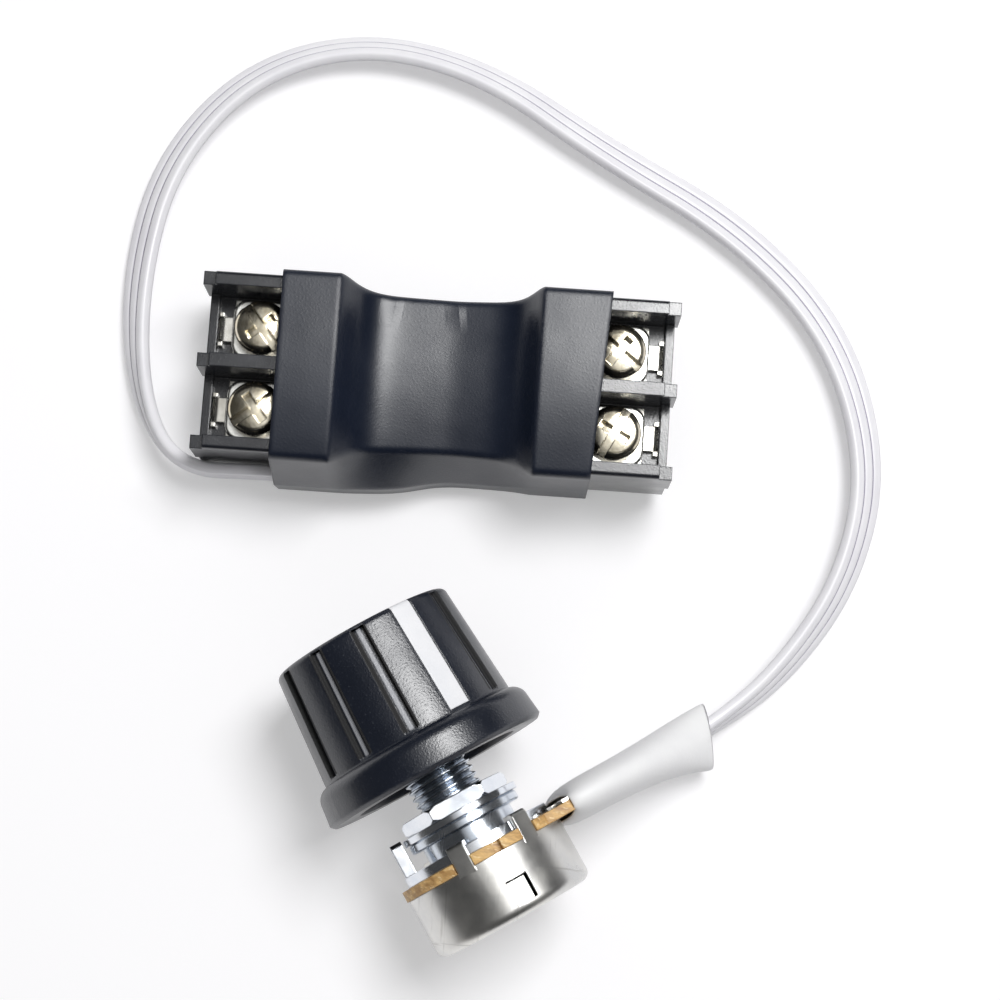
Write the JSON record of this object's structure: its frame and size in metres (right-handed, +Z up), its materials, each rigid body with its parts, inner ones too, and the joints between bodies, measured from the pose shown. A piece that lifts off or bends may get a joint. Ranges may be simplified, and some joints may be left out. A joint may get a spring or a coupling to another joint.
{
  "type": "rotary led dimmer",
  "caption": "Sleeved dimmer module with screw terminals at both ends, wired by a flat cable to a panel-mount rotary control with a grooved knob.",
  "frame": {"origin": "middle of the module's underside, on the surface that the part lies on", "axes": "+Z up, +X along the module from its supply end to its lamp end, +Y away from the rotary control"},
  "size_m": [0.08, 0.0964, 0.0238],
  "materials": {
    "terminal_plastic": "satin black moulding",
    "black_shrink": "satin, faintly creased",
    "white_shrink": "soft satin",
    "cable_white": "soft satin",
    "screw_nickel": "warm bright nickel",
    "clamp_steel": "bright",
    "contact_metal": "tinned",
    "board_green": "satin",
    "package_black": "matte",
    "can_metal": "satin",
    "core_white": "satin",
    "phenolic": "grained tan",
    "carbon": "matte",
    "cup_tin": "dull scratched tin",
    "zinc_plate": "bright zinc",
    "bushing_metal": "turned",
    "wiper_bronze": "spring bronze",
    "rotor_plastic": "matte",
    "knob_black": "fine speckled satin",
    "pointer_white": "bright white"
  },
  "bodies": {
    "base": {"circuit_board": "board_green", "output_terminal_body": "terminal_plastic", "input_terminal_body": "terminal_plastic", "output_positive_contact": "contact_metal", "output_negative_contact": "contact_metal", "input_positive_contact": "contact_metal", "input_negative_contact": "contact_metal", "switching_transistor": "package_black", "timer_chip": "package_black", "capacitor": "can_metal", "flyback_diode": "package_black", "gate_resistor": "package_black", "timing_resistor": "package_black", "black_shrink_sleeve": "black_shrink", "flat_cable": "cable_white", "board_lead_1": "core_white", "control_lead_1": "core_white", "control_terminal_1": "contact_metal", "board_lead_2": "core_white", "control_lead_2": "core_white", "control_terminal_2": "contact_metal", "board_lead_3": "core_white", "control_lead_3": "core_white", "control_terminal_3": "contact_metal", "white_shrink_sleeve": "white_shrink", "rear_cup": "cup_tin", "phenolic_wafer": "phenolic", "resistive_track": "carbon", "collector_ring": "contact_metal", "front_plate": "zinc_plate", "threaded_bushing": "bushing_metal"},
    "output_positive_clamp": {"output_positive_clamp_plate": "clamp_steel"},
    "output_positive_screw": {"output_positive_screw": "screw_nickel"},
    "output_negative_clamp": {"output_negative_clamp_plate": "clamp_steel"},
    "output_negative_screw": {"output_negative_screw": "screw_nickel"},
    "input_positive_clamp": {"input_positive_clamp_plate": "clamp_steel"},
    "input_positive_screw": {"input_positive_screw": "screw_nickel"},
    "input_negative_clamp": {"input_negative_clamp_plate": "clamp_steel"},
    "input_negative_screw": {"input_negative_screw": "screw_nickel"},
    "washer": {"panel_washer": "zinc_plate"},
    "nut": {"panel_nut": "zinc_plate"},
    "shaft": {"control_shaft": "bushing_metal", "shaft_clip": "zinc_plate", "rotor": "rotor_plastic", "wiper": "wiper_bronze"},
    "knob": {"knob": "knob_black", "knob_pointer": "pointer_white"}
  },
  "joints": [
    {"name": "output_positive_screw_rise", "type": "slide", "parent": "base", "child": "output_positive_clamp", "axis": [0, 0, 1], "range_m": [0, 0.0022]},
    {"name": "output_positive_screw_turn", "type": "hinge", "parent": "output_positive_clamp", "child": "output_positive_screw", "pos_m": [0.01845, 0.00425, 0.00905], "axis": [0, 0, 1], "range_deg": [0, 1590]},
    {"name": "output_negative_screw_rise", "type": "slide", "parent": "base", "child": "output_negative_clamp", "axis": [0, 0, 1], "range_m": [0, 0.0022]},
    {"name": "output_negative_screw_turn", "type": "hinge", "parent": "output_negative_clamp", "child": "output_negative_screw", "pos_m": [0.01845, -0.00425, 0.00905], "axis": [0, 0, 1], "range_deg": [0, 1590]},
    {"name": "input_positive_screw_rise", "type": "slide", "parent": "base", "child": "input_positive_clamp", "axis": [0, 0, 1], "range_m": [0, 0.0022]},
    {"name": "input_positive_screw_turn", "type": "hinge", "parent": "input_positive_clamp", "child": "input_positive_screw", "pos_m": [-0.01845, -0.00425, 0.00905], "axis": [0, 0, 1], "range_deg": [0, 1590]},
    {"name": "input_negative_screw_rise", "type": "slide", "parent": "base", "child": "input_negative_clamp", "axis": [0, 0, 1], "range_m": [0, 0.0022]},
    {"name": "input_negative_screw_turn", "type": "hinge", "parent": "input_negative_clamp", "child": "input_negative_screw", "pos_m": [-0.01845, 0.00425, 0.00905], "axis": [0, 0, 1], "range_deg": [0, 1590]},
    {"name": "nut_rise", "type": "slide", "parent": "base", "child": "washer", "axis": [-0.5417, 0.8406, 0], "range_m": [0, 0.0024]},
    {"name": "nut_turn", "type": "hinge", "parent": "washer", "child": "nut", "pos_m": [0.00564, -0.04434, 0.0119], "axis": [-0.5417, 0.8406, 0], "range_deg": [0, 1160]},
    {"name": "knob_turn", "type": "hinge", "parent": "base", "child": "shaft", "pos_m": [0.00564, -0.04434, 0.0119], "axis": [-0.5417, 0.8406, 0], "range_deg": [-257, 43]},
    {"name": "knob_pull", "type": "slide", "parent": "shaft", "child": "knob", "axis": [-0.5417, 0.8406, 0], "range_m": [0, 0.0065]}
  ],
  "couplings": [
    {"joint": "output_positive_screw_turn", "follows": "output_positive_screw_rise", "rad_per_m": 12566},
    {"joint": "output_negative_screw_turn", "follows": "output_negative_screw_rise", "rad_per_m": 12566},
    {"joint": "input_positive_screw_turn", "follows": "input_positive_screw_rise", "rad_per_m": 12566},
    {"joint": "input_negative_screw_turn", "follows": "input_negative_screw_rise", "rad_per_m": 12566},
    {"joint": "nut_turn", "follows": "nut_rise", "rad_per_m": 8377.6}
  ]
}
